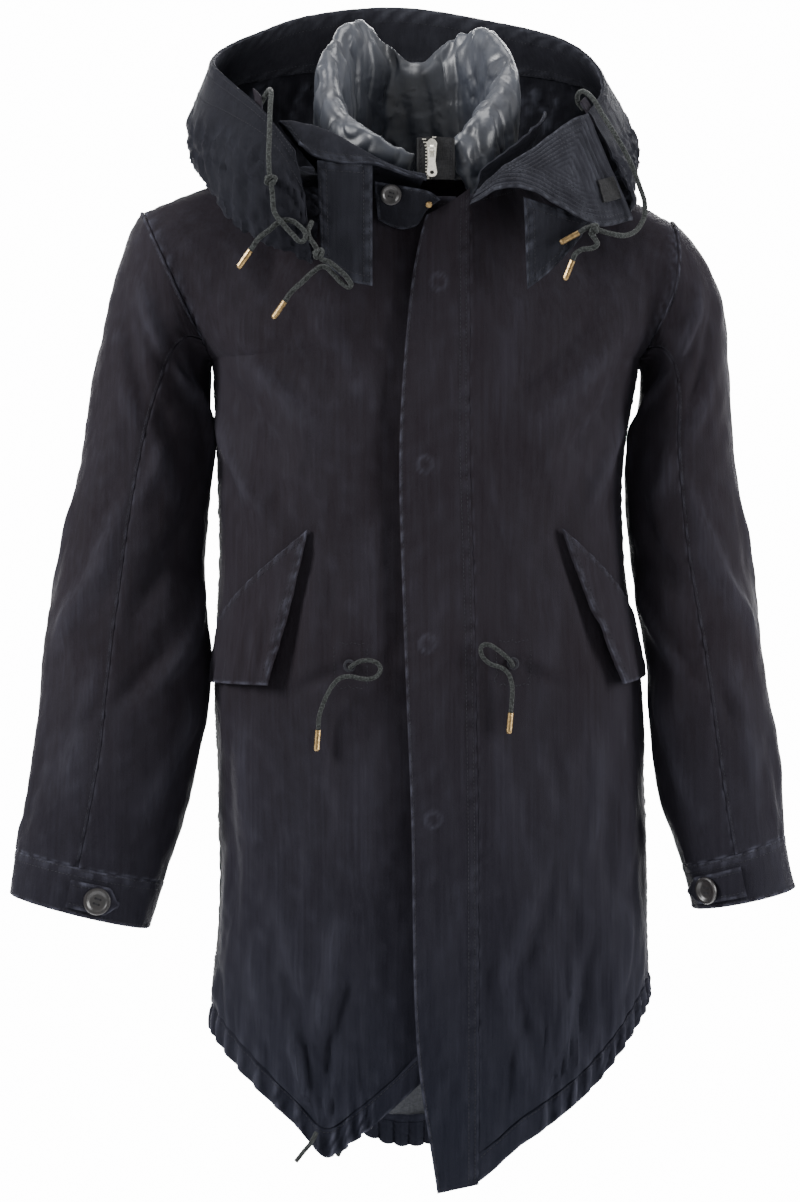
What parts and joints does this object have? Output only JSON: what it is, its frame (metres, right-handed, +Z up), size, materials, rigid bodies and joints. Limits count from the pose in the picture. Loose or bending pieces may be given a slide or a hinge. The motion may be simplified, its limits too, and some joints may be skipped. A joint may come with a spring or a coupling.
{
  "type": "parka",
  "caption": "Thigh-length parka with a fishtail drawcord hem, an open hood with cords, a padded inner collar with a zip, a fly front and slanted flap pockets, in worn form.",
  "frame": {"origin": "the middle of the neck opening at the height of the shoulders, where the wearer holds the garment", "axes": "+Z up, the front faces -Y, +X is the wearer's left"},
  "size_m": [0.6997, 0.3447, 1.0744],
  "materials": {
    "shell": "garment-dyed brushed cotton, dark navy",
    "facing": "the same cloth with rows of stitching",
    "lining": "plain grey lining",
    "nylon": "quilted slate grey nylon with a soft shine",
    "cord": "round braided cord",
    "brass": "worn satin",
    "zip_metal": "satin nickel",
    "horn": "polished dark horn",
    "tape": "plain dark tape"
  },
  "bodies": {
    "root": {"front_right": "shell", "front_left": "shell", "back": "shell", "fly_placket": "shell", "hem_casing_front_right": "shell", "hem_casing_front_left": "shell", "hem_casing_back": "shell", "sleeve_upper_right": "shell", "sleeve_under_right": "shell", "sleeve_upper_left": "shell", "sleeve_under_left": "shell", "cuff_right": "shell", "cuff_tab_right": "shell", "cuff_left": "shell", "cuff_tab_left": "shell", "pocket_flap_right": "shell", "pocket_flap_left": "shell", "hood_right": "shell", "hood_left": "shell", "neck_leaf_left": "shell", "neck_leaf_right": "shell", "stand_right": "shell", "stand_left": "shell", "neck_strap": "shell", "hood_tab_right": "shell", "hood_tab_left": "shell", "hood_facing": "facing", "hood_lapel_left": "facing", "back_lining": "lining", "inner_collar": "nylon", "hem_cord_right_outer": "cord", "hem_cord_right_inner": "cord", "hood_cord_right_outer": "cord", "hood_cord_right_inner": "cord", "hood_cord_left": "cord", "hood_cord_left_end": "cord", "waist_cord_right": "cord", "waist_cord_left": "cord", "hood_aglet_right_outer": "brass", "hood_aglet_right_inner": "brass", "hood_aglet_left": "brass", "hood_aglet_left_end": "brass", "waist_aglet_right": "brass", "waist_aglet_left": "brass", "neck_snap": "brass", "zip_slider": "zip_metal", "cuff_button_right": "horn", "cuff_button_left": "horn", "neck_button": "horn", "zip_tape": "tape", "lapel_tape": "tape", "waist_eyelet_right": "tape", "waist_eyelet_left": "tape"},
    "pull_tab": {"zip_pull_tab": "zip_metal"}
  },
  "joints": [
    {"name": "zip_pull", "type": "hinge", "parent": "root", "child": "pull_tab", "pos_m": [0.005, -0.1272, 0.017], "axis": [-1, 0, 0], "range_deg": [0, 110]}
  ]
}
